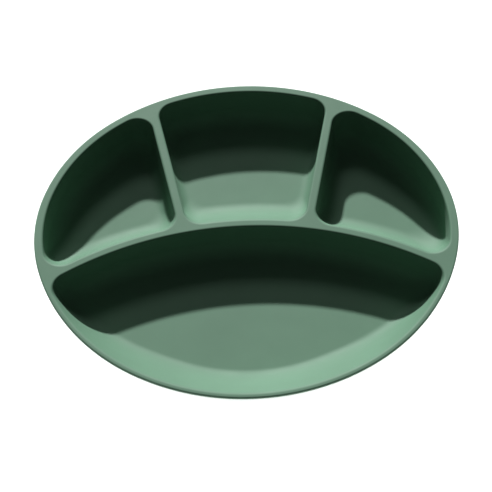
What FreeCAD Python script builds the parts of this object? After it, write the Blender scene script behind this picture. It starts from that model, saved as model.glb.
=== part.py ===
import FreeCAD, Part
import math
import os
import Sketcher
from FreeCAD import Vector

# Divided suction plate for a toddler, in millimetres.
# +Z is up, +X is the eater's right and -Y is the eater's side. The origin is on the table, under the
# middle of the plate. Under the plate are four suction cups on stems, each with a tab that breaks its seal.

SHEET_ROWS = (
    # heights above the table
    ("rim_height", 32.0),
    ("floor_height", 12.0),
    ("front_floor_height", 14.0),
    ("base_height", 9.0),
    ("band_height", 1.3),
    ("fillet_height", 8.0),
    # the rim's outline: tangent arcs from the rear round to the front, each with a radius and a turn
    ("rear_radius", 118.0),
    ("rear_turn", 36.0),
    ("shoulder_radius", 93.0),
    ("shoulder_turn", 36.0),
    ("side_radius", 81.0),
    ("side_turn", 33.0),
    ("flank_radius", 102.0),
    ("flank_turn", 44.0),
    # the flat widths on top
    ("rim_width", 4.5),
    ("lip_width", 2.7),
    ("arch_width", 4.4),
    ("spoke_width", 4.8),
    # the dividers' centre lines
    ("arch_centre", -175.0),
    ("arch_radius", 179.2),
    ("spoke_reach", 40.0),
    ("spoke_station", 43.0),
    ("spoke_lean", 11.8),
    # how far each wall runs inwards: down to its fillet, and down to the floor
    ("rim_wall_run", 0.6),
    ("rim_floor_run", 9.0),
    ("spoke_wall_run", 0.6),
    ("spoke_floor_run", 7.5),
    ("centre_near_wall_run", 11.2),
    ("centre_near_floor_run", 25.2),
    ("side_near_wall_run", 8.6),
    ("side_near_floor_run", 21.0),
    ("arch_front_wall_run", 0.5),
    ("arch_front_floor_run", 9.0),
    # the front compartment's outer wall and the bowl's outside are steep at the sides and slope at the
    # front: they change between these two headings, measured from the rear
    ("slope_start", 90.0),
    ("slope_end", 160.0),
    ("lip_side_wall_run", 0.8),
    ("lip_side_floor_run", 9.5),
    ("lip_front_wall_run", 10.2),
    ("lip_front_floor_run", 22.8),
    ("skirt_side_wall_run", 2.6),
    ("skirt_side_base_run", 13.0),
    ("skirt_front_wall_run", 13.0),
    ("skirt_front_base_run", 29.0),
    ("corner_radius", 9.0),
    ("floor_corner_radius", 8.0),
    # the four suction cups and their sockets
    ("cup_x", 48.0),
    ("cup_y", 34.0),
    ("cup_radius", 20.0),
    ("cup_lip_width", 2.5),
    ("cup_lip_height", 0.8),
    ("cup_top_height", 4.2),
    ("cup_shoulder_radius", 6.5),
    ("cavity_height", 2.6),
    ("cavity_top_radius", 5.0),
    ("stem_radius", 4.2),
    ("bead_radius", 5.0),
    ("bead_height", 0.8),
    ("stem_top_height", 8.3),
    ("boss_radius", 8.5),
    ("boss_bottom_height", 6.5),
    ("socket_radius", 4.6),
    ("socket_lip_height", 0.8),
    ("socket_groove_radius", 5.4),
    ("socket_top_height", 10.6),
    # the release tabs
    ("tab_gap", 0.4),
    ("tab_length", 10.0),
    ("tab_width", 13.0),
    ("tab_thickness", 1.5),
    ("tab_lift", 0.3),
    ("tab_rib_height", 0.9),
    ("tab_rib_radius", 1.2),
    ("tab_rib_length", 7.8),
    ("tab_rib_inset", 3.2),
)

# points on each stretch of a section, and sections round each fillet
OUTER_STEPS = 28
ARCH_STEPS = 16
SPOKE_STEPS = 8
CORNER_STEPS = 6
FILLET_STEPS = 8

# where each corner is looked for: headings in radians on the rim, distances along a straight divider
CENTRE_FAR = (0.0, 1.2)
RIGHT_FAR = (1.2, 0.3)
RIGHT_LOW = (0.8, 1.9)
FRONT_LOW = (math.pi, 1.6)
SPOKE_NEAR = (-60.0, 30.0)
HALVINGS = 60

# how far a solid reaches past the face where it is joined or cut
OVERLAP = 1.0

doc = FreeCAD.newDocument("divided_suction_plate")
sheet = doc.addObject("Spreadsheet::Sheet", "Dims")
for row, (alias, value) in enumerate(SHEET_ROWS, start=1):
    sheet.set("A%d" % row, alias)
    sheet.set("B%d" % row, str(value))
    sheet.setAlias("B%d" % row, alias)
doc.recompute()


def dim(alias):
    """A driving dimension, read from the sheet."""
    return float(sheet.get(alias))


# ---- the rim's outline ----------------------------------------------------------------------------

def outline_arcs():
    """The right half of the outline: (start heading, centre x, centre y, radius) of each tangent arc."""
    arcs = []
    heading = 0.0
    x = 0.0
    y = 0.0
    for name in ("rear", "shoulder", "side", "flank"):
        radius = dim(name + "_radius")
        centre_x = x - radius * math.sin(heading)
        centre_y = y - radius * math.cos(heading)
        arcs.append((heading, centre_x, centre_y, radius))
        heading += math.radians(dim(name + "_turn"))
        x = centre_x + radius * math.sin(heading)
        y = centre_y + radius * math.cos(heading)
    front_radius = x / math.sin(heading)
    arcs.append((heading, 0.0, y - front_radius * math.cos(heading), front_radius))
    return arcs


ARCS = outline_arcs()
REAR_Y = (ARCS[-1][3] - ARCS[-1][2]) / 2.0


def outline(heading, inset=0.0):
    """The point of the outline, moved inwards by inset, where its outward normal is at heading from +Y."""
    turn = heading % (2.0 * math.pi)
    side = 1.0
    if turn > math.pi:
        turn = 2.0 * math.pi - turn
        side = -1.0
    _, centre_x, centre_y, radius = [arc for arc in ARCS if arc[0] <= turn][-1]
    reach = radius - inset
    return (side * (centre_x + reach * math.sin(turn)), REAR_Y + centre_y + reach * math.cos(turn))


def sloped(heading, side, front):
    """A wall's run at a heading: the side's value up to slope_start, the front's from slope_end on."""
    turn = math.degrees(abs((heading + math.pi) % (2.0 * math.pi) - math.pi))
    share = (turn - dim("slope_start")) / (dim("slope_end") - dim("slope_start"))
    share = min(max(share, 0.0), 1.0)
    return side + (front - side) * share * share * (3.0 - 2.0 * share)


# ---- the edges that bound the compartments ---------------------------------------------------------
# Each edge gives a point at a station along it and at an inset into the compartment. The dividers also
# give how far a point is into the compartment, and its station.

class RimEdge:
    """The rim of the rear compartments, seen from inside. Its stations are headings."""

    def point(self, station, inset):
        return outline(station, dim("rim_width") + inset)


class LipEdge:
    """The rim of the front compartment at one level of its wall. Its stations are headings."""

    def __init__(self, side_run, front_run):
        self.side_run = side_run
        self.front_run = front_run

    def point(self, station, inset):
        run = sloped(station, self.side_run, self.front_run)
        return outline(station, dim("lip_width") + run + inset)


class ArchEdge:
    """One face of the arched divider. Its stations are angles from +Y about the arch's centre."""

    def __init__(self, side):
        self.side = side
        self.radius = dim("arch_radius") + side * dim("arch_width") / 2.0

    def point(self, station, inset):
        reach = self.radius + self.side * inset
        return (reach * math.sin(station), dim("arch_centre") + reach * math.cos(station))

    def depth(self, place):
        return self.side * (math.hypot(place[0], place[1] - dim("arch_centre")) - self.radius)

    def station(self, place):
        return math.atan2(place[0], place[1] - dim("arch_centre"))


class SpokeEdge:
    """One face of the right-hand straight divider. Its stations are distances along it."""

    def __init__(self, side):
        lean = math.radians(dim("spoke_lean"))
        middle = Vector(dim("spoke_reach"), dim("spoke_station"), 0)
        self.along = Vector(math.sin(lean), math.cos(lean), 0)
        self.inwards = Vector(math.cos(lean), -math.sin(lean), 0) * side
        self.start = middle + self.inwards * (dim("spoke_width") / 2.0)

    def point(self, station, inset):
        place = self.start + self.along * station + self.inwards * inset
        return (place.x, place.y)

    def depth(self, place):
        return (Vector(place[0], place[1], 0) - self.start).dot(self.inwards)

    def station(self, place):
        return (Vector(place[0], place[1], 0) - self.start).dot(self.along)


RIM = RimEdge()
ARCH_BACK = ArchEdge(1.0)
ARCH_FRONT = ArchEdge(-1.0)
SPOKE_IN = SpokeEdge(-1.0)
SPOKE_OUT = SpokeEdge(1.0)


def corner(edge, inset, other, other_inset, radius, between):
    """Station on edge, and centre, of the corner arc that touches both edges, found between two stations."""
    def miss(station):
        return other.depth(edge.point(station, inset + radius)) - other_inset - radius

    low, high = between
    low_miss = miss(low)
    if low_miss * miss(high) > 0.0:
        raise ValueError("no corner between these stations")
    for _ in range(HALVINGS):
        middle = 0.5 * (low + high)
        if miss(middle) * low_miss > 0.0:
            low = middle
        else:
            high = middle
    return low, edge.point(low, inset + radius)


def spread(first, last, steps):
    """Evenly spaced values from first to last, both included."""
    return [first + (last - first) * step / steps for step in range(steps + 1)]


def arc_points(centre, first, last, steps):
    """Points on the short arc about centre, between two points on it, both left out."""
    start = math.atan2(first[1] - centre[1], first[0] - centre[0])
    turn = math.atan2(last[1] - centre[1], last[0] - centre[0]) - start
    turn = (turn + math.pi) % (2.0 * math.pi) - math.pi
    radius = math.hypot(first[0] - centre[0], first[1] - centre[1])
    angles = spread(start, start + turn, steps)[1:-1]
    return [(centre[0] + radius * math.cos(a), centre[1] + radius * math.sin(a)) for a in angles]


def edge_points(edge, inset, first, last, steps):
    """Points along an edge at an inset, both ends included."""
    return [edge.point(station, inset) for station in spread(first, last, steps)]


def mirrored(points):
    """The same points on the other side of the plate, in reverse order."""
    return [(-x, y) for x, y in reversed(points)]


def centre_loop(rim_run, spoke_run, near_run, radius):
    """The centre compartment's edge, moved inwards by the given runs."""
    far, far_centre = corner(RIM, rim_run, SPOKE_IN, spoke_run, radius, CENTRE_FAR)
    near, near_centre = corner(SPOKE_IN, spoke_run, ARCH_BACK, near_run, radius, SPOKE_NEAR)
    far_station = SPOKE_IN.station(far_centre)
    near_station = ARCH_BACK.station(near_centre)
    half = edge_points(RIM, rim_run, 0.0, far, OUTER_STEPS // 2)
    half += arc_points(far_centre, half[-1], SPOKE_IN.point(far_station, spoke_run), CORNER_STEPS)
    half += edge_points(SPOKE_IN, spoke_run, far_station, near, SPOKE_STEPS)
    half += arc_points(near_centre, half[-1], ARCH_BACK.point(near_station, near_run), CORNER_STEPS)
    half += edge_points(ARCH_BACK, near_run, near_station, 0.0, ARCH_STEPS // 2)
    return half + mirrored(half)[1:-1]


def right_loop(rim_run, spoke_run, near_run, radius):
    """The right compartment's edge, moved inwards by the given runs."""
    far, far_centre = corner(RIM, rim_run, SPOKE_OUT, spoke_run, radius, RIGHT_FAR)
    low, low_centre = corner(RIM, rim_run, ARCH_BACK, near_run, radius, RIGHT_LOW)
    near, near_centre = corner(SPOKE_OUT, spoke_run, ARCH_BACK, near_run, radius, SPOKE_NEAR)
    far_station = SPOKE_OUT.station(far_centre)
    low_station = ARCH_BACK.station(low_centre)
    near_station = ARCH_BACK.station(near_centre)
    loop = edge_points(RIM, rim_run, far, low, OUTER_STEPS)
    loop += arc_points(low_centre, loop[-1], ARCH_BACK.point(low_station, near_run), CORNER_STEPS)
    loop += edge_points(ARCH_BACK, near_run, low_station, near_station, ARCH_STEPS // 2)
    loop += arc_points(near_centre, loop[-1], SPOKE_OUT.point(near, spoke_run), CORNER_STEPS)
    loop += edge_points(SPOKE_OUT, spoke_run, near, far_station, SPOKE_STEPS)
    loop += arc_points(far_centre, loop[-1], loop[0], CORNER_STEPS)
    return loop


def front_loop(side_run, front_run, arch_run, radius):
    """The front compartment's edge, moved inwards by the given runs."""
    lip = LipEdge(side_run, front_run)
    low, low_centre = corner(lip, 0.0, ARCH_FRONT, arch_run, radius, FRONT_LOW)
    low_station = ARCH_FRONT.station(low_centre)
    half = edge_points(ARCH_FRONT, arch_run, 0.0, low_station, ARCH_STEPS)
    half += arc_points(low_centre, half[-1], lip.point(low, 0.0), CORNER_STEPS)
    half += edge_points(lip, 0.0, low, math.pi, OUTER_STEPS)
    return half + mirrored(half)[1:-1]


def skirt_loop(side_run, front_run):
    """The section of the bowl's outside, with its own run at the sides and at the front."""
    headings = spread(0.0, 2.0 * math.pi, 4 * OUTER_STEPS)[:-1]
    return [outline(heading, sloped(heading, side_run, front_run)) for heading in headings]


# ---- solids through sections ------------------------------------------------------------------------

def smooth_wire(points, height):
    """A closed smooth wire through points at one height."""
    curve = Part.BSplineCurve()
    knots = [float(index) for index in range(len(points) + 1)]
    curve.interpolate(Points=[Vector(x, y, height) for x, y in points], Parameters=knots, PeriodicFlag=True)
    return Part.Wire([curve.toShape()])


def blend(first, second, share):
    """Points between two loops of the same length."""
    return [(a[0] + (b[0] - a[0]) * share, a[1] + (b[1] - a[1]) * share) for a, b in zip(first, second)]


def tub(top, foot, floor, top_height, foot_height, floor_height):
    """A solid whose wall is straight from top to foot, then curves in to its flat floor."""
    wires = [smooth_wire(top, top_height), smooth_wire(foot, foot_height)]
    knee = blend(top, foot, (top_height - floor_height) / (top_height - foot_height))
    for share in spread(0.0, 1.0, FILLET_STEPS)[1:]:
        ring = blend(blend(foot, knee, share), blend(knee, floor, share), share)
        height = floor_height + (foot_height - floor_height) * (1.0 - share) ** 2
        wires.append(smooth_wire(ring, height))
    return Part.makeLoft(wires, True, True)


def compartment(loop, floor_height, foot_runs, floor_runs):
    """The hollow of one compartment, which reaches a little above the rim."""
    top_runs = [0.0] * len(foot_runs)
    top = loop(*top_runs, dim("corner_radius"))
    foot = loop(*foot_runs, 0.5 * (dim("corner_radius") + dim("floor_corner_radius")))
    floor = loop(*floor_runs, dim("floor_corner_radius"))
    foot_height = floor_height + dim("fillet_height")
    hollow = tub(top, foot, floor, dim("rim_height"), foot_height, floor_height)
    mouth = Part.Face(smooth_wire(top, dim("rim_height"))).extrude(Vector(0, 0, OVERLAP))
    return hollow.fuse(mouth)


def compartments():
    """The four hollows: centre, right, left and front."""
    floor_height = dim("floor_height")
    foot_runs = [dim("rim_wall_run"), dim("spoke_wall_run")]
    floor_runs = [dim("rim_floor_run"), dim("spoke_floor_run")]
    centre = compartment(centre_loop, floor_height, foot_runs + [dim("centre_near_wall_run")],
                         floor_runs + [dim("centre_near_floor_run")])
    right = compartment(right_loop, floor_height, foot_runs + [dim("side_near_wall_run")],
                        floor_runs + [dim("side_near_floor_run")])
    left = right.mirror(Vector(0, 0, 0), Vector(1, 0, 0))
    foot_runs = [dim("lip_side_wall_run"), dim("lip_front_wall_run"), dim("arch_front_wall_run")]
    floor_runs = [dim("lip_side_floor_run"), dim("lip_front_floor_run"), dim("arch_front_floor_run")]
    front = compartment(front_loop, dim("front_floor_height"), foot_runs, floor_runs)
    return [centre, right, left, front]


def bowl():
    """The solid outside of the plate, from the rim's band down to its flat base."""
    band_bottom = dim("rim_height") - dim("band_height")
    base_height = dim("base_height")
    edge = skirt_loop(0.0, 0.0)
    foot = skirt_loop(dim("skirt_side_wall_run"), dim("skirt_front_wall_run"))
    base = skirt_loop(dim("skirt_side_base_run"), dim("skirt_front_base_run"))
    wall = tub(edge, foot, base, band_bottom, base_height + dim("fillet_height"), base_height)
    band = Part.Face(smooth_wire(edge, band_bottom)).extrude(Vector(0, 0, dim("band_height")))
    return wall.fuse(band)


CUP_PLACES = (
    ("front_left", -1.0, -1.0),
    ("front_right", 1.0, -1.0),
    ("back_left", -1.0, 1.0),
    ("back_right", 1.0, 1.0),
)


def socketed(body):
    """The plate with a round boss and a grooved blind socket for each cup."""
    boss_height = dim("base_height") - dim("boss_bottom_height") + OVERLAP
    depth = dim("socket_top_height") - dim("boss_bottom_height")
    lip_height = dim("socket_lip_height")
    for _, side_x, side_y in CUP_PLACES:
        bottom = Vector(side_x * dim("cup_x"), side_y * dim("cup_y"), dim("boss_bottom_height"))
        body = body.fuse(Part.makeCylinder(dim("boss_radius"), boss_height, bottom))
        mouth = Part.makeCylinder(dim("socket_radius"), depth, bottom)
        groove = Part.makeCylinder(dim("socket_groove_radius"), depth - lip_height,
                                   bottom + Vector(0, 0, lip_height))
        body = body.cut(mouth.fuse(groove))
    return body


def plate_shape():
    """The silicone moulding: the bowl, less its compartments, with its sockets."""
    body = bowl()
    for hollow in compartments():
        body = body.cut(hollow)
    return socketed(body).Solids[0]


plate = doc.addObject("Part::Feature", "PlateBody")
plate.Label = "plate_body"
plate.Shape = plate_shape()
plate.Placement = FreeCAD.Placement(Vector(0, 0, 0), FreeCAD.Rotation())


# ---- the suction cups -------------------------------------------------------------------------------
# A coordinate of the cup's profile is a term: a plain number, or a tuple of (factor, alias).

def single(alias):
    """A term that is one dimension."""
    return ((1.0, alias),)


def evaluate(term):
    """The value of a term."""
    if isinstance(term, float):
        return term
    return sum(factor * dim(alias) for factor, alias in term)


def bound(term):
    """The same term as a sheet expression in millimetres."""
    if isinstance(term, float):
        return "%s mm" % term
    return "(" + " + ".join("(%s) * Dims.%s" % (factor, alias) for factor, alias in term) + ") * 1 mm"


LIP_INSIDE = ((1.0, "cup_radius"), (-1.0, "cup_lip_width"))
BEAD_BOTTOM = ((1.0, "stem_top_height"), (-1.0, "bead_height"))
CUP_PROFILE = (
    (0.0, single("cavity_height")),
    (single("cavity_top_radius"), single("cavity_height")),
    (LIP_INSIDE, 0.0),
    (single("cup_radius"), 0.0),
    (single("cup_radius"), single("cup_lip_height")),
    (single("cup_shoulder_radius"), single("cup_top_height")),
    (single("stem_radius"), single("cup_top_height")),
    (single("stem_radius"), BEAD_BOTTOM),
    (single("bead_radius"), BEAD_BOTTOM),
    (single("stem_radius"), single("stem_top_height")),
    (0.0, single("stem_top_height")),
)


def profile_sketch(body, name, points):
    """A sketch of straight lines through points, upright in its body; the sheet drives each coordinate."""
    sketch = body.newObject("Sketcher::SketchObject", name)
    upright = [item for item in body.Origin.OriginFeatures if item.Role == "XZ_Plane"][0]
    sketch.AttachmentSupport = [(upright, "")]
    sketch.MapMode = "FlatFace"
    places = [Vector(evaluate(x), evaluate(y), 0) for x, y in points]
    for start, end in zip(places, places[1:] + places[:1]):
        sketch.addGeometry(Part.LineSegment(start, end))
    for index in range(len(places)):
        after = (index + 1) % len(places)
        sketch.addConstraint(Sketcher.Constraint("Coincident", index, 2, after, 1))
    for index, (x, y) in enumerate(points):
        for kind, term in (("DistanceX", x), ("DistanceY", y)):
            number = sketch.addConstraint(Sketcher.Constraint(kind, -1, 1, index, 1, evaluate(term)))
            sketch.setExpression("Constraints[%d]" % number, bound(term))
    return sketch


def add_cup(name, side_x, side_y):
    """One suction cup: a thin flared disc, its stem and the bead that holds it in the socket."""
    body = doc.addObject("PartDesign::Body", "Cup_" + name)
    body.Label = "suction_cup_" + name
    sketch = profile_sketch(body, "Profile_" + name, CUP_PROFILE)
    turned = body.newObject("PartDesign::Revolution", "Turned_" + name)
    turned.Profile = sketch
    turned.ReferenceAxis = (sketch, ["V_Axis"])
    turned.Angle = 360.0
    body.setExpression("Placement.Base.x", "%s * Dims.cup_x" % side_x)
    body.setExpression("Placement.Base.y", "%s * Dims.cup_y" % side_y)
    return body


# ---- the release tabs -------------------------------------------------------------------------------

TAB_ROOT = "Dims.cup_radius + Dims.tab_gap"


def add_tab(name, side_x, side_y):
    """One release tab: a flat tongue that points away from the plate's middle, with a rib to grip."""
    tongue = doc.addObject("Part::Box", "Tongue_" + name)
    tongue.setExpression("Length", "Dims.tab_length - Dims.tab_width / 2")
    tongue.setExpression("Width", "Dims.tab_width")
    tongue.setExpression("Height", "Dims.tab_thickness")
    tongue.setExpression("Placement.Base.x", TAB_ROOT)
    tongue.setExpression("Placement.Base.y", "-Dims.tab_width / 2")
    tongue.setExpression("Placement.Base.z", "Dims.tab_lift")
    tip = doc.addObject("Part::Cylinder", "Tip_" + name)
    tip.setExpression("Radius", "Dims.tab_width / 2")
    tip.setExpression("Height", "Dims.tab_thickness")
    tip.setExpression("Placement.Base.x", TAB_ROOT + " + Dims.tab_length - Dims.tab_width / 2")
    tip.setExpression("Placement.Base.z", "Dims.tab_lift")
    rib = doc.addObject("Part::Cylinder", "Rib_" + name)
    rib.setExpression("Radius", "Dims.tab_rib_radius")
    rib.setExpression("Height", "Dims.tab_rib_length")
    rib.Placement = FreeCAD.Placement(Vector(0, 0, 0), FreeCAD.Rotation(Vector(1, 0, 0), 90))
    rib.setExpression("Placement.Base.x", TAB_ROOT + " + Dims.tab_length - Dims.tab_rib_inset")
    rib.setExpression("Placement.Base.y", "Dims.tab_rib_length / 2")
    rib.setExpression("Placement.Base.z",
                      "Dims.tab_lift + Dims.tab_thickness + Dims.tab_rib_height - Dims.tab_rib_radius")
    blank = doc.addObject("Part::MultiFuse", "Blank_" + name)
    blank.Shapes = [tongue, tip, rib]
    clearance = doc.addObject("Part::Cylinder", "Clearance_" + name)
    clearance.setExpression("Radius", TAB_ROOT)
    clearance.setExpression("Height", "Dims.cup_top_height")
    tab = doc.addObject("Part::Cut", "Tab_" + name)
    tab.Label = "release_tab_" + name
    tab.Base = blank
    tab.Tool = clearance
    heading = math.degrees(math.atan2(side_y * dim("cup_y"), side_x * dim("cup_x")))
    tab.Placement = FreeCAD.Placement(Vector(0, 0, 0), FreeCAD.Rotation(Vector(0, 0, 1), heading))
    tab.setExpression("Placement.Base.x", "%s * Dims.cup_x" % side_x)
    tab.setExpression("Placement.Base.y", "%s * Dims.cup_y" % side_y)
    return tab


pieces = [plate]
pieces += [add_cup(*place) for place in CUP_PLACES]
pieces += [add_tab(*place) for place in CUP_PLACES]
doc.recompute()


# ---- checks and export ------------------------------------------------------------------------------

failed = [item.Name for item in doc.Objects if "Invalid" in item.State or "Error" in item.State]
if failed:
    raise RuntimeError("features failed: " + ", ".join(failed))
for piece in pieces:
    if piece.Shape.isNull() or not piece.Shape.isValid() or len(piece.Shape.Solids) != 1:
        raise RuntimeError("bad shape: " + piece.Label)
os.makedirs("parts", exist_ok=True)
for piece in pieces:
    piece.Shape.exportStep("parts/%s.step" % piece.Label)
    box = piece.Shape.BoundBox
    print("%-28s volume %9.1f  x %.1f..%.1f  y %.1f..%.1f  z %.2f..%.2f" % (
        piece.Label, piece.Shape.Volume, box.XMin, box.XMax, box.YMin, box.YMax, box.ZMin, box.ZMax))
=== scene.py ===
import math

import bmesh
import bpy
from mathutils import Matrix, Vector


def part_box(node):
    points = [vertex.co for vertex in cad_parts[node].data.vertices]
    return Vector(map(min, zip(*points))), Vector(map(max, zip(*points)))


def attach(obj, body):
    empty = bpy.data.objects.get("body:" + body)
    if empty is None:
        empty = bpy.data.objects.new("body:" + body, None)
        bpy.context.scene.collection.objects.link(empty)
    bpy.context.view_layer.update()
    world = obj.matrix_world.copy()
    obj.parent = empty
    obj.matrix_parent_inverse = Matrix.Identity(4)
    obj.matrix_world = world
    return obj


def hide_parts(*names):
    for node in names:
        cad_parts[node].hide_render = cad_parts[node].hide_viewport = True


MM = 0.001

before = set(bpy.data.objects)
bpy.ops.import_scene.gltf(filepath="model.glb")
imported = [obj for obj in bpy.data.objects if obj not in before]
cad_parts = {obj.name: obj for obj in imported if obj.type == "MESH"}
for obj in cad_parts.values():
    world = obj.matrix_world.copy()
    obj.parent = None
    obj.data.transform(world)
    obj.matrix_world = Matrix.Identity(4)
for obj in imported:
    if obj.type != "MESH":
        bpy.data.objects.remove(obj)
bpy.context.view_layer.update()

# Divided suction plate. Plan sizes are in millimetres, as on the plate's drawing: +Y is the rear, -Y the
# eater's side. Heights come from the frame.

RIM_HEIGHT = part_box("plate_body")[1].z / MM
FLOOR_HEIGHT = 12.0
FRONT_FLOOR_HEIGHT = 14.0
BASE_HEIGHT = 9.0
BAND_HEIGHT = 1.3
FILLET_HEIGHT = 8.0

# the outline's right half, from the rear round to the front: radius and turn in degrees of each tangent arc
OUTLINE_ARCS = ((118.0, 36.0), (93.0, 36.0), (81.0, 33.0), (102.0, 44.0))

RIM_WIDTH = 4.5
LIP_WIDTH = 2.7
ARCH_WIDTH = 4.4
SPOKE_WIDTH = 4.8
ARCH_CENTRE_Y = -175.0
ARCH_RADIUS = 179.2
SPOKE_X = 40.0
SPOKE_Y = 43.0
SPOKE_LEAN = math.radians(11.8)

# how far each wall runs inwards, down to its fillet and down to the floor
RIM_RUNS = (0.6, 9.0)
SPOKE_RUNS = (0.6, 7.5)
CENTRE_NEAR_RUNS = (11.2, 25.2)
SIDE_NEAR_RUNS = (8.6, 21.0)
ARCH_FRONT_RUNS = (0.5, 9.0)

# the front compartment's outer wall and the bowl's outside change from their run at the sides to their
# run at the front between these two headings, in degrees from the rear
SLOPE_START = 90.0
SLOPE_END = 160.0
LIP_SIDE_RUNS = (0.8, 9.5)
LIP_FRONT_RUNS = (10.2, 22.8)
SKIRT_SIDE_RUNS = (2.6, 13.0)
SKIRT_FRONT_RUNS = (13.0, 29.0)
CORNER_RADIUS = 9.0
FOOT_CORNER_RADIUS = 8.5
FLOOR_CORNER_RADIUS = 8.0

# the small roundings that a mould leaves on the top edges, and how far past a curve its flat keeps a
# ring of its own, so that the shading of the flat stays flat
INNER_ROUNDING = 1.1
OUTER_ROUNDING = 0.8
BAND_ROUNDING = 0.4
TOP_MARGIN = 0.15
FLOOR_MARGIN = 0.6

# points on each stretch of a loop, and rings down each stretch of a wall
OUTSIDE_STEPS = 384
RIM_STEPS = 64
ARCH_STEPS = 40
SPOKE_STEPS = 20
CORNER_STEPS = 12
WALL_RINGS = 5
FILLET_RINGS = 12
ROUNDING_RINGS = 5
ROUNDING_STEPS = 6
CIRCLE_STEPS = 96
SHARP_ANGLE = math.radians(40.0)

# where each corner is looked for: headings in radians on the rim, distances along a straight divider
CENTRE_FAR = (0.0, 1.2)
RIGHT_FAR = (1.2, 0.3)
RIGHT_LOW = (0.8, 1.9)
FRONT_LOW = (math.pi, 1.6)
SPOKE_NEAR = (-60.0, 30.0)
HALVINGS = 60


# ---- plan geometry ----------------------------------------------------------------------------------

def outline_arcs():
    """(start heading, centre x, centre y, radius) of each arc of the outline's right half."""
    arcs = []
    heading = 0.0
    x = 0.0
    y = 0.0
    for radius, turn in OUTLINE_ARCS:
        centre_x = x - radius * math.sin(heading)
        centre_y = y - radius * math.cos(heading)
        arcs.append((heading, centre_x, centre_y, radius))
        heading += math.radians(turn)
        x = centre_x + radius * math.sin(heading)
        y = centre_y + radius * math.cos(heading)
    front_radius = x / math.sin(heading)
    arcs.append((heading, 0.0, y - front_radius * math.cos(heading), front_radius))
    return arcs


ARCS = outline_arcs()
REAR_Y = (ARCS[-1][3] - ARCS[-1][2]) / 2.0


def outline(heading, inset=0.0):
    """The point of the outline, moved inwards by inset, whose outward normal is at heading from +Y."""
    turn = heading % (2.0 * math.pi)
    side = 1.0
    if turn > math.pi:
        turn = 2.0 * math.pi - turn
        side = -1.0
    _, centre_x, centre_y, radius = [arc for arc in ARCS if arc[0] <= turn][-1]
    reach = radius - inset
    return (side * (centre_x + reach * math.sin(turn)), REAR_Y + centre_y + reach * math.cos(turn))


def sloped(heading, side, front):
    """A wall's run at a heading: the side's value up to SLOPE_START, the front's from SLOPE_END on."""
    turn = math.degrees(abs((heading + math.pi) % (2.0 * math.pi) - math.pi))
    share = min(max((turn - SLOPE_START) / (SLOPE_END - SLOPE_START), 0.0), 1.0)
    return side + (front - side) * share * share * (3.0 - 2.0 * share)


class RimEdge:
    """The rim of the rear compartments, seen from inside; a station is a heading."""

    def point(self, station, inset):
        return outline(station, RIM_WIDTH + inset)


class LipEdge:
    """The rim of the front compartment at one level of its wall; a station is a heading."""

    def __init__(self, side_run, front_run):
        self.side_run = side_run
        self.front_run = front_run

    def point(self, station, inset):
        return outline(station, LIP_WIDTH + sloped(station, self.side_run, self.front_run) + inset)


class ArchEdge:
    """One face of the arched divider; a station is an angle from +Y about the arch's centre."""

    def __init__(self, side):
        self.side = side
        self.radius = ARCH_RADIUS + side * ARCH_WIDTH / 2.0

    def point(self, station, inset):
        reach = self.radius + self.side * inset
        return (reach * math.sin(station), ARCH_CENTRE_Y + reach * math.cos(station))

    def depth(self, place):
        return self.side * (math.hypot(place[0], place[1] - ARCH_CENTRE_Y) - self.radius)

    def station(self, place):
        return math.atan2(place[0], place[1] - ARCH_CENTRE_Y)


class SpokeEdge:
    """One face of the right-hand straight divider; a station is a distance along it."""

    def __init__(self, side):
        self.along = Vector((math.sin(SPOKE_LEAN), math.cos(SPOKE_LEAN)))
        self.inwards = side * Vector((math.cos(SPOKE_LEAN), -math.sin(SPOKE_LEAN)))
        self.start = Vector((SPOKE_X, SPOKE_Y)) + self.inwards * SPOKE_WIDTH / 2.0

    def point(self, station, inset):
        return tuple(self.start + self.along * station + self.inwards * inset)

    def depth(self, place):
        return (Vector(place) - self.start).dot(self.inwards)

    def station(self, place):
        return (Vector(place) - self.start).dot(self.along)


RIM = RimEdge()
ARCH_BACK = ArchEdge(1.0)
ARCH_FRONT = ArchEdge(-1.0)
SPOKE_IN = SpokeEdge(-1.0)
SPOKE_OUT = SpokeEdge(1.0)


def corner(edge, inset, other, other_inset, radius, between):
    """Station on edge, and centre, of the corner arc that touches both edges, found between two stations."""
    def miss(station):
        return other.depth(edge.point(station, inset + radius)) - other_inset - radius

    low, high = between
    low_miss = miss(low)
    if low_miss * miss(high) > 0.0:
        raise ValueError("no corner between these stations")
    for _ in range(HALVINGS):
        middle = 0.5 * (low + high)
        if miss(middle) * low_miss > 0.0:
            low = middle
        else:
            high = middle
    return low, edge.point(low, inset + radius)


def spread(first, last, steps):
    """Evenly spaced values from first to last, both included."""
    return [first + (last - first) * step / steps for step in range(steps + 1)]


def arc_points(centre, first, last, steps):
    """Points on the short arc about centre, between two points on it, both left out."""
    start = math.atan2(first[1] - centre[1], first[0] - centre[0])
    turn = math.atan2(last[1] - centre[1], last[0] - centre[0]) - start
    turn = (turn + math.pi) % (2.0 * math.pi) - math.pi
    radius = math.hypot(first[0] - centre[0], first[1] - centre[1])
    angles = spread(start, start + turn, steps)[1:-1]
    return [(centre[0] + radius * math.cos(a), centre[1] + radius * math.sin(a)) for a in angles]


def edge_points(edge, inset, first, last, steps):
    """Points along an edge at an inset, both ends included."""
    return [edge.point(station, inset) for station in spread(first, last, steps)]


def mirrored(points):
    """The same points on the other side of the plate, in reverse order."""
    return [(-x, y) for x, y in reversed(points)]


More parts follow.
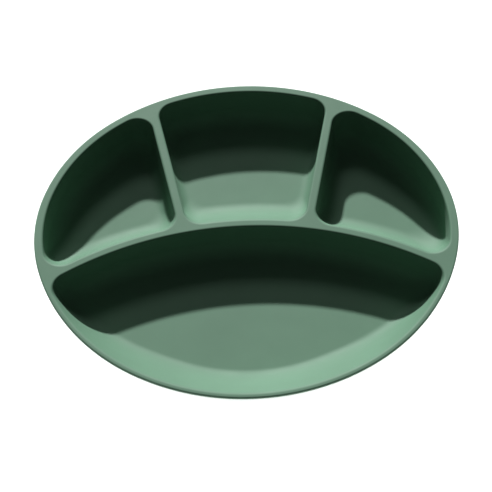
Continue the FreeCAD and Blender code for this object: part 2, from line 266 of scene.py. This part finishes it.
def centre_loop(rim_run, spoke_run, near_run, radius):
    """The centre compartment's edge, moved inwards by the given runs."""
    far, far_centre = corner(RIM, rim_run, SPOKE_IN, spoke_run, radius, CENTRE_FAR)
    near, near_centre = corner(SPOKE_IN, spoke_run, ARCH_BACK, near_run, radius, SPOKE_NEAR)
    far_station = SPOKE_IN.station(far_centre)
    near_station = ARCH_BACK.station(near_centre)
    half = edge_points(RIM, rim_run, 0.0, far, RIM_STEPS // 2)
    half += arc_points(far_centre, half[-1], SPOKE_IN.point(far_station, spoke_run), CORNER_STEPS)
    half += edge_points(SPOKE_IN, spoke_run, far_station, near, SPOKE_STEPS)
    half += arc_points(near_centre, half[-1], ARCH_BACK.point(near_station, near_run), CORNER_STEPS)
    half += edge_points(ARCH_BACK, near_run, near_station, 0.0, ARCH_STEPS // 2)
    return half + mirrored(half)[1:-1]


def right_loop(rim_run, spoke_run, near_run, radius):
    """The right compartment's edge, moved inwards by the given runs."""
    far, far_centre = corner(RIM, rim_run, SPOKE_OUT, spoke_run, radius, RIGHT_FAR)
    low, low_centre = corner(RIM, rim_run, ARCH_BACK, near_run, radius, RIGHT_LOW)
    near, near_centre = corner(SPOKE_OUT, spoke_run, ARCH_BACK, near_run, radius, SPOKE_NEAR)
    far_station = SPOKE_OUT.station(far_centre)
    low_station = ARCH_BACK.station(low_centre)
    near_station = ARCH_BACK.station(near_centre)
    loop = edge_points(RIM, rim_run, far, low, RIM_STEPS)
    loop += arc_points(low_centre, loop[-1], ARCH_BACK.point(low_station, near_run), CORNER_STEPS)
    loop += edge_points(ARCH_BACK, near_run, low_station, near_station, ARCH_STEPS // 2)
    loop += arc_points(near_centre, loop[-1], SPOKE_OUT.point(near, spoke_run), CORNER_STEPS)
    loop += edge_points(SPOKE_OUT, spoke_run, near, far_station, SPOKE_STEPS)
    loop += arc_points(far_centre, loop[-1], loop[0], CORNER_STEPS)
    return loop


def left_loop(rim_run, spoke_run, near_run, radius):
    """The left compartment's edge: the right one's mirror image."""
    return mirrored(right_loop(rim_run, spoke_run, near_run, radius))


def front_loop(side_run, front_run, arch_run, radius):
    """The front compartment's edge, moved inwards by the given runs."""
    lip = LipEdge(side_run, front_run)
    low, low_centre = corner(lip, 0.0, ARCH_FRONT, arch_run, radius, FRONT_LOW)
    low_station = ARCH_FRONT.station(low_centre)
    half = edge_points(ARCH_FRONT, arch_run, 0.0, low_station, ARCH_STEPS)
    half += arc_points(low_centre, half[-1], lip.point(low, 0.0), CORNER_STEPS)
    half += edge_points(lip, 0.0, low, math.pi, RIM_STEPS)
    return half + mirrored(half)[1:-1]


def skirt_loop(side_run, front_run):
    """The section of the bowl's outside, with its own run at the sides and at the front."""
    headings = spread(0.0, 2.0 * math.pi, OUTSIDE_STEPS)[:-1]
    return [outline(heading, sloped(heading, side_run, front_run)) for heading in headings]


# ---- rings ------------------------------------------------------------------------------------------
# A ring is a list of (x, y, z) in millimetres.

def lift(points, height):
    """A plan loop at a height."""
    return [Vector((x, y, height)) for x, y in points]


def mix(first, second, share):
    """The ring a share of the way from one ring to another."""
    return [a.lerp(b, share) for a, b in zip(first, second)]


def curve_rings(first, knee, last, steps):
    """Rings along the curve that leaves first towards knee and reaches last from knee, first left out."""
    return [mix(mix(first, knee, s), mix(knee, last, s), s) for s in spread(0.0, 1.0, steps)[1:]]


def straight_rings(first, last, steps):
    """Rings along a straight wall, first left out."""
    return [mix(first, last, share) for share in spread(0.0, 1.0, steps)[1:]]


def wall_rings(top, foot, floor_ring, floor_height, start):
    """Rings down a wall from a share of the way down its straight part, and round its fillet."""
    drop = (top[0].z - floor_height) / (top[0].z - foot[0].z)
    knee = mix(top, foot, drop)
    rings = [mix(top, foot, start)]
    rings += straight_rings(rings[0], foot, WALL_RINGS)
    rings += curve_rings(foot, knee, floor_ring, FILLET_RINGS)
    return rings


def compartment_rings(loop, floor_height, wall_runs, floor_runs):
    """Rings of one compartment, from the flat top of its dividers to its flat floor."""
    def top_ring(inset):
        return lift(loop(*([inset] * len(wall_runs)), CORNER_RADIUS - inset), RIM_HEIGHT)

    foot_height = floor_height + FILLET_HEIGHT
    foot = lift(loop(*wall_runs, FOOT_CORNER_RADIUS), foot_height)
    floor_ring = lift(loop(*floor_runs, FLOOR_CORNER_RADIUS), floor_height)
    inner_runs = [run + FLOOR_MARGIN for run in floor_runs]
    inner_floor = lift(loop(*inner_runs, FLOOR_CORNER_RADIUS), floor_height)
    start = INNER_ROUNDING / (RIM_HEIGHT - foot_height)
    wall = wall_rings(top_ring(0.0), foot, floor_ring, floor_height, start)
    rings = [top_ring(-INNER_ROUNDING - TOP_MARGIN), top_ring(-INNER_ROUNDING)]
    rings += curve_rings(rings[-1], top_ring(0.0), wall[0], ROUNDING_RINGS)[:-1]
    return rings + wall + [inner_floor]


def skirt_rings():
    """Rings of the outside, from the rim's flat top to the flat base."""
    def edge_ring(inset, height):
        return lift(skirt_loop(inset, inset), height)

    band_bottom = RIM_HEIGHT - BAND_HEIGHT
    base_runs = (SKIRT_SIDE_RUNS[1], SKIRT_FRONT_RUNS[1])
    rings = [edge_ring(OUTER_ROUNDING + TOP_MARGIN, RIM_HEIGHT), edge_ring(OUTER_ROUNDING, RIM_HEIGHT)]
    band_top = edge_ring(0.0, RIM_HEIGHT - OUTER_ROUNDING)
    rings += curve_rings(rings[-1], edge_ring(0.0, RIM_HEIGHT), band_top, ROUNDING_RINGS)
    rings.append(edge_ring(0.0, band_bottom + BAND_ROUNDING))
    foot = lift(skirt_loop(SKIRT_SIDE_RUNS[0], SKIRT_FRONT_RUNS[0]), BASE_HEIGHT + FILLET_HEIGHT)
    base = lift(skirt_loop(*base_runs), BASE_HEIGHT)
    start = BAND_ROUNDING / (band_bottom - foot[0].z)
    wall = wall_rings(edge_ring(0.0, band_bottom), foot, base, BASE_HEIGHT, start)
    rings += curve_rings(rings[-1], edge_ring(0.0, band_bottom), wall[0], ROUNDING_RINGS)[:-1]
    inner_base = lift(skirt_loop(base_runs[0] + FLOOR_MARGIN, base_runs[1] + FLOOR_MARGIN), BASE_HEIGHT)
    return rings + wall + [inner_base]


# ---- meshes -----------------------------------------------------------------------------------------

def add_ring(bm, ring):
    """Vertices of one ring."""
    return [bm.verts.new(point * MM) for point in ring]


def skin(bm, rings):
    """Quads between rings; returns the first and the last ring's vertices."""
    rows = [add_ring(bm, ring) for ring in rings]
    for upper, lower in zip(rows, rows[1:]):
        count = len(upper)
        for index in range(count):
            after = (index + 1) % count
            bm.faces.new((upper[index], upper[after], lower[after], lower[index]))
    return rows[0], rows[-1]


def ring_edges(bm, row):
    """The edges round a row of vertices."""
    pairs = zip(row, row[1:] + row[:1])
    return [bm.edges.get(pair) or bm.edges.new(pair) for pair in pairs]


def fill_between(bm, rows):
    """A flat face between an outer row and the rows of its holes."""
    edges = [edge for row in rows for edge in ring_edges(bm, row)]
    bmesh.ops.triangle_fill(bm, use_beauty=True, use_dissolve=False, edges=edges)


def mesh_object(name, bm):
    """A smooth-shaded object from a closed bmesh, with its faces turned outwards."""
    bmesh.ops.recalc_face_normals(bm, faces=bm.faces)
    mesh = bpy.data.meshes.new(name)
    bm.to_mesh(mesh)
    bm.free()
    mesh.shade_smooth()
    piece = bpy.data.objects.new(name, mesh)
    bpy.context.scene.collection.objects.link(piece)
    return piece


def circle(radius, height, centre):
    """A round ring about a centre."""
    angles = spread(0.0, 2.0 * math.pi, CIRCLE_STEPS)[:-1]
    return [Vector((centre[0] + radius * math.cos(a), centre[1] + radius * math.sin(a), height))
            for a in angles]


CUP_NAMES = ("front_left", "front_right", "back_left", "back_right")


def cup_place(name):
    """The middle of a cup in plan, in millimetres, from the frame."""
    low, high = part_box("suction_cup_" + name)
    return ((low.x + high.x) / 2.0 / MM, (low.y + high.y) / 2.0 / MM)


def rounded(corners):
    """Points through corners (x, y, rounding), with a tangent arc at each corner that has a rounding."""
    points = []
    for index, (x, y, rounding) in enumerate(corners):
        here = Vector((x, y))
        if rounding == 0.0:
            points.append((x, y))
            continue
        back = (Vector(corners[index - 1][:2]) - here).normalized()
        ahead = (Vector(corners[(index + 1) % len(corners)][:2]) - here).normalized()
        half_angle = back.angle(ahead) / 2.0
        first = tuple(here + back * rounding / math.tan(half_angle))
        last = tuple(here + ahead * rounding / math.tan(half_angle))
        centre = here + (back + ahead).normalized() * rounding / math.sin(half_angle)
        points += [first] + arc_points(centre, first, last, ROUNDING_STEPS) + [last]
    return points


# Sections are (radius, height, rounding). The boss runs from the plate's base down, and up the socket.
BOSS_SECTION = ((10.4, 9.0, 0.0), (8.5, 9.0, 1.2), (8.5, 6.5, 0.5), (4.6, 6.5, 0.35), (4.6, 7.3, 0.1),
                (5.4, 7.3, 0.1), (5.4, 10.6, 0.3), (4.0, 10.6, 0.0))
# The cup runs from the top of its stem, over the bead and the lip, and up inside the cavity.
CUP_SECTION = ((3.0, 8.3, 0.0), (4.2, 8.3, 0.4), (5.0, 7.5, 0.12), (4.2, 7.5, 0.2), (4.2, 4.2, 0.7),
               (6.5, 4.2, 4.0), (20.0, 0.8, 0.35), (20.0, 0.0, 0.3), (17.5, 0.0, 3.0), (5.0, 2.6, 8.0),
               (2.0, 2.6, 0.0))


def turned_rings(section, centre):
    """Rings of a section turned about an upright axis."""
    return [circle(radius, height, centre) for radius, height in rounded(section)]


COMPARTMENTS = (
    (centre_loop, FLOOR_HEIGHT, (RIM_RUNS, SPOKE_RUNS, CENTRE_NEAR_RUNS)),
    (right_loop, FLOOR_HEIGHT, (RIM_RUNS, SPOKE_RUNS, SIDE_NEAR_RUNS)),
    (left_loop, FLOOR_HEIGHT, (RIM_RUNS, SPOKE_RUNS, SIDE_NEAR_RUNS)),
    (front_loop, FRONT_FLOOR_HEIGHT, (LIP_SIDE_RUNS, LIP_FRONT_RUNS, ARCH_FRONT_RUNS)),
)


def build_plate():
    """The silicone moulding, as one closed mesh."""
    bm = bmesh.new()
    outer_top, outer_base = skin(bm, skirt_rings())
    top_rows = [outer_top]
    for loop, floor_height, walls in COMPARTMENTS:
        wall_runs = [runs[0] for runs in walls]
        floor_runs = [runs[1] for runs in walls]
        mouth, floor_row = skin(bm, compartment_rings(loop, floor_height, wall_runs, floor_runs))
        top_rows.append(mouth)
        bm.faces.new(floor_row)
    fill_between(bm, top_rows)
    base_rows = [outer_base]
    for name in CUP_NAMES:
        centre = cup_place(name)
        root, end = skin(bm, turned_rings(BOSS_SECTION, centre))
        bm.faces.new(end)
        base_rows.append(root)
    fill_between(bm, base_rows)
    return mesh_object("plate", bm)


def capped(rings):
    """A closed bmesh through rings, with a flat face at each end."""
    bm = bmesh.new()
    first, last = skin(bm, rings)
    bm.faces.new(first)
    bm.faces.new(last)
    return bm


def build_cup(name):
    """One suction cup with its stem and bead."""
    return mesh_object("cup_" + name, capped(turned_rings(CUP_SECTION, cup_place(name))))


# A tab lies along +X from its cup's middle before it is turned to point away from the plate's middle.
TAB_ROOT = 20.4
TAB_TIP = 30.4
TAB_HALF_WIDTH = 6.5
TAB_ROOT_CORNER = 1.0
TAB_TIP_CORNER = 6.4
TAB_EDGE = ((0.9, 0.3, 0.0), (0.0, 0.3, 0.35), (0.0, 1.8, 0.35), (0.9, 1.8, 0.0))
# the rib to grip: its distance from the cup's middle, its height, and its section along its length
RIB_REACH = 27.2
RIB_HEIGHT = 1.55
RIB_SECTION = ((0.3, -3.9, 0.0), (1.15, -3.9, 0.5), (1.15, 3.9, 0.5), (0.3, 3.9, 0.0))
# the thin web that the tab bends at
WEB_RADIUS = 20.06
WEB_END = 21.4
WEB_HALF_ANGLE = math.radians(11.0)
WEB_BOTTOM = 0.42
WEB_TOP = 0.78
WEB_STEPS = 10


def tongue_loop(inset):
    """The tab's outline in plan, moved inwards."""
    half = TAB_HALF_WIDTH - inset
    root = TAB_ROOT + inset
    tip = TAB_TIP - inset
    root_corner = TAB_ROOT_CORNER - inset
    tip_corner = TAB_TIP_CORNER - inset
    return rounded(((root, 0.0, 0.0), (root, half, root_corner), (tip, half, tip_corner),
                    (tip, -half, tip_corner), (root, -half, root_corner)))


def rib_ring(radius, along):
    """A ring round the rib's axis, which lies across the tab."""
    return [Vector((RIB_REACH + point.x, along, RIB_HEIGHT + point.y))
            for point in circle(radius, 0.0, (0.0, 0.0))]


def web_loop():
    """The web's outline in plan: curved along the cup's lip, straight inside the tab."""
    half = WEB_RADIUS * math.sin(WEB_HALF_ANGLE)
    angles = spread(WEB_HALF_ANGLE, -WEB_HALF_ANGLE, WEB_STEPS)
    lip_side = [(WEB_RADIUS * math.cos(a), WEB_RADIUS * math.sin(a)) for a in angles]
    return lip_side + [(WEB_END, -half), (WEB_END, half)]


def united(name, shapes):
    """One object from closed bmeshes that run into each other."""
    blanks = [mesh_object(name + "_blank", bm) for bm in shapes]
    for blank in blanks[1:]:
        joiner = blanks[0].modifiers.new("join", "BOOLEAN")
        joiner.operation = "UNION"
        joiner.solver = "EXACT"
        joiner.object = blank
    shaped = blanks[0].evaluated_get(bpy.context.evaluated_depsgraph_get())
    mesh = bpy.data.meshes.new_from_object(shaped)
    for blank in blanks:
        bpy.data.objects.remove(blank)
    mesh.name = name
    mesh.shade_smooth()
    mesh.set_sharp_from_angle(angle=SHARP_ANGLE)
    piece = bpy.data.objects.new(name, mesh)
    bpy.context.scene.collection.objects.link(piece)
    return piece


def build_tab(name):
    """One release tab with its rib and the web that joins it to its cup."""
    tongue = capped([lift(tongue_loop(inset), height) for inset, height in rounded(TAB_EDGE)])
    rib = capped([rib_ring(radius, along) for radius, along in rounded(RIB_SECTION)])
    web = capped([lift(web_loop(), WEB_BOTTOM), lift(web_loop(), WEB_TOP)])
    tab = united("tab_" + name, (tongue, rib, web))
    x, y = cup_place(name)
    turn = Matrix.Rotation(math.atan2(y, x), 4, "Z")
    tab.data.transform(Matrix.Translation(Vector((x, y, 0.0)) * MM) @ turn)
    return tab


# ---- materials --------------------------------------------------------------------------------------

SPECULAR_LEVEL = 0.25
SHEEN = 0.03
SHEEN_ROUGHNESS = 0.45
SCATTER_RADIUS = (0.6, 1.0, 0.7)
SCATTER_SCALE = 0.0012
# the scale and detail of each noise: the colour's mottling, the gloss's variation and the mould's grain
MOTTLING = (38.0, 3.0)
GLOSS = (90.0, 4.0)
GRAIN = (2600.0, 2.0)
# where each end of the mottling lies in the noise, and how light it is
DARK_END = (0.30, 0.955)
LIGHT_END = (0.72, 1.035)
GLOSS_SPREAD = 0.05
GRAIN_STRENGTH = 0.12
GRAIN_DEPTH = 0.00008


def silicone(name, colour, roughness, translucency):
    """Matte moulded silicone: a fine sparked-mould grain, faint mottling and a powdery sheen."""
    material = bpy.data.materials.new(name)
    material.use_nodes = True
    tree = material.node_tree
    shader = tree.nodes["Principled BSDF"]
    shader.inputs["Specular IOR Level"].default_value = SPECULAR_LEVEL
    shader.inputs["Sheen Weight"].default_value = SHEEN
    shader.inputs["Sheen Roughness"].default_value = SHEEN_ROUGHNESS
    shader.inputs["Subsurface Weight"].default_value = translucency
    shader.inputs["Subsurface Radius"].default_value = SCATTER_RADIUS
    shader.inputs["Subsurface Scale"].default_value = SCATTER_SCALE
    place = tree.nodes.new("ShaderNodeTexCoord")

    def noise(scale, detail):
        node = tree.nodes.new("ShaderNodeTexNoise")
        node.inputs["Scale"].default_value = scale
        node.inputs["Detail"].default_value = detail
        tree.links.new(place.outputs["Object"], node.inputs["Vector"])
        return node.outputs["Fac"]

    tint = tree.nodes.new("ShaderNodeValToRGB")
    for stop, (position, lightness) in zip(tint.color_ramp.elements, (DARK_END, LIGHT_END)):
        stop.position = position
        stop.color = tuple(lightness * channel for channel in colour) + (1.0,)
    tree.links.new(noise(*MOTTLING), tint.inputs["Fac"])
    tree.links.new(tint.outputs["Color"], shader.inputs["Base Color"])

    span = tree.nodes.new("ShaderNodeMapRange")
    span.inputs["To Min"].default_value = roughness - GLOSS_SPREAD
    span.inputs["To Max"].default_value = roughness + GLOSS_SPREAD
    tree.links.new(noise(*GLOSS), span.inputs["Value"])
    tree.links.new(span.outputs["Result"], shader.inputs["Roughness"])

    bump = tree.nodes.new("ShaderNodeBump")
    bump.inputs["Strength"].default_value = GRAIN_STRENGTH
    bump.inputs["Distance"].default_value = GRAIN_DEPTH
    tree.links.new(noise(*GRAIN), bump.inputs["Height"])
    tree.links.new(bump.outputs["Normal"], shader.inputs["Normal"])
    return material


PLATE_COLOUR = (0.131, 0.255, 0.171)
CUP_COLOUR = (0.155, 0.295, 0.200)
PLATE_SILICONE = silicone("sage_silicone", PLATE_COLOUR, roughness=0.62, translucency=0.06)
CUP_SILICONE = silicone("soft_silicone", CUP_COLOUR, roughness=0.48, translucency=0.18)

plate = build_plate()
plate.data.materials.append(PLATE_SILICONE)
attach(plate, "plate")
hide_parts("plate_body")

cup_pieces = []
for name in CUP_NAMES:
    for piece, body, node in ((build_cup(name), "cup_" + name, "suction_cup_" + name),
                              (build_tab(name), "tab_" + name, "release_tab_" + name)):
        piece.data.materials.append(CUP_SILICONE)
        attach(piece, body)
        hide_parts(node)
        cup_pieces.append(piece)


# ---- floor, light and camera ------------------------------------------------------------------------

# in metres; the backdrop meets the floor inside its edges
FLOOR_SIZE = 12.0
FLOOR_COLOUR = (0.9, 0.9, 0.9, 1.0)
FLOOR_ROUGHNESS = 0.9
BACKDROP_RADIUS = 5.9
BACKDROP_SEGMENTS = 96
BLACK = (0.0, 0.0, 0.0, 1.0)
WHITE = (1.0, 1.0, 1.0, 1.0)
WORLD_STRENGTH = 0.038


def add_floor():
    """A plain white floor."""
    bpy.ops.mesh.primitive_plane_add(size=FLOOR_SIZE, location=(0.0, 0.0, 0.0))
    floor = bpy.context.object
    floor.name = "floor"
    material = bpy.data.materials.new("white_floor")
    material.use_nodes = True
    shader = material.node_tree.nodes["Principled BSDF"]
    shader.inputs["Base Color"].default_value = FLOOR_COLOUR
    shader.inputs["Roughness"].default_value = FLOOR_ROUGHNESS
    shader.inputs["Specular IOR Level"].default_value = 0.0
    floor.data.materials.append(material)
    return floor


def add_backdrop():
    """A plain white surround that only the camera sees, so that it sheds no light and no shade."""
    bpy.ops.mesh.primitive_uv_sphere_add(segments=BACKDROP_SEGMENTS, ring_count=BACKDROP_SEGMENTS // 2,
                                         radius=BACKDROP_RADIUS)
    backdrop = bpy.context.object
    backdrop.name = "backdrop"
    material = bpy.data.materials.new("white_backdrop")
    material.use_nodes = True
    shader = material.node_tree.nodes["Principled BSDF"]
    shader.inputs["Base Color"].default_value = BLACK
    shader.inputs["Specular IOR Level"].default_value = 0.0
    shader.inputs["Emission Color"].default_value = WHITE
    shader.inputs["Emission Strength"].default_value = 1.0
    backdrop.data.materials.append(material)
    backdrop.visible_diffuse = False
    backdrop.visible_glossy = False
    backdrop.visible_transmission = False
    backdrop.visible_volume_scatter = False
    backdrop.visible_shadow = False


def sun(name, strength, angle, azimuth, elevation):
    """A far lamp. Azimuth is from +Y towards -X, and elevation is above the floor, in degrees."""
    data = bpy.data.lights.new(name, "SUN")
    data.energy = strength
    data.angle = math.radians(angle)
    lamp = bpy.data.objects.new(name, data)
    bpy.context.scene.collection.objects.link(lamp)
    turn = math.radians(azimuth)
    rise = math.radians(elevation)
    towards = Vector((-math.sin(turn) * math.cos(rise), math.cos(turn) * math.cos(rise), math.sin(rise)))
    lamp.rotation_euler = towards.to_track_quat("Z", "Y").to_euler()
    return lamp


def link_light(lamp, name, objects, state):
    """The lamp lights only these objects (INCLUDE), or all but these (EXCLUDE)."""
    group = bpy.data.collections.new(name)
    for item in objects:
        group.objects.link(item)
    lamp.light_linking.receiver_collection = group
    for entry in group.collection_objects:
        entry.light_linking.link_state = state


floor = add_floor()
add_backdrop()
key = sun("key", strength=5.08, angle=2.0, azimuth=7.0, elevation=26.2)
link_light(key, "key_receivers", [floor], "EXCLUDE")
fill = sun("fill", strength=0.37, angle=12.0, azimuth=7.0, elevation=38.0)
link_light(fill, "fill_receivers", [floor], "EXCLUDE")
# the floor's lamp shines from the camera's side, so that the plate hides its own shadow there
table_light = sun("table_light", strength=5.6, angle=14.0, azimuth=180.0, elevation=61.0)
link_light(table_light, "table_receivers", [floor], "INCLUDE")
for name, azimuth in (("under_front", 200.0), ("under_rear", 20.0)):
    under_light = sun(name, strength=1.3, angle=20.0, azimuth=azimuth, elevation=7.0)
    link_light(under_light, name + "_receivers", cup_pieces, "INCLUDE")

world = bpy.data.worlds.new("studio")
bpy.context.scene.world = world
world.use_nodes = True
world.node_tree.nodes["Background"].inputs["Color"].default_value = WHITE
world.node_tree.nodes["Background"].inputs["Strength"].default_value = WORLD_STRENGTH
bpy.context.scene.view_settings.view_transform = "Standard"

# The camera looks from the eater's side, well above the table, and is rolled slightly. Lengths are in
# millimetres, and it aims at a point near the middle of the rim's plane.
VIEW_ELEVATION = math.radians(55.0)
VIEW_DISTANCE = 700.0
VIEW_ROLL = math.radians(2.0)
FOCAL_LENGTH = 102.2
SENSOR_WIDTH = 36.0
AIM = Vector((0.0, -7.1, RIM_HEIGHT))
AIM_RIGHT = -0.35
AIM_UP = -2.4


def add_camera():
    """The camera, on the eater's side of the plate."""
    data = bpy.data.cameras.new("camera")
    data.lens = FOCAL_LENGTH
    data.sensor_width = SENSOR_WIDTH
    camera = bpy.data.objects.new("camera", data)
    bpy.context.scene.collection.objects.link(camera)
    back = Vector((0.0, -math.cos(VIEW_ELEVATION), math.sin(VIEW_ELEVATION)))
    place = (AIM + back * VIEW_DISTANCE) * MM
    right = Vector((1.0, 0.0, 0.0))
    up = back.cross(right)
    target = (AIM + right * AIM_RIGHT + up * AIM_UP) * MM
    look = (target - place).to_track_quat("-Z", "Y").to_matrix().to_4x4()
    roll = Matrix.Rotation(-VIEW_ROLL, 4, "Z")
    camera.matrix_world = Matrix.Translation(place) @ look @ roll
    bpy.context.scene.camera = camera


add_camera()
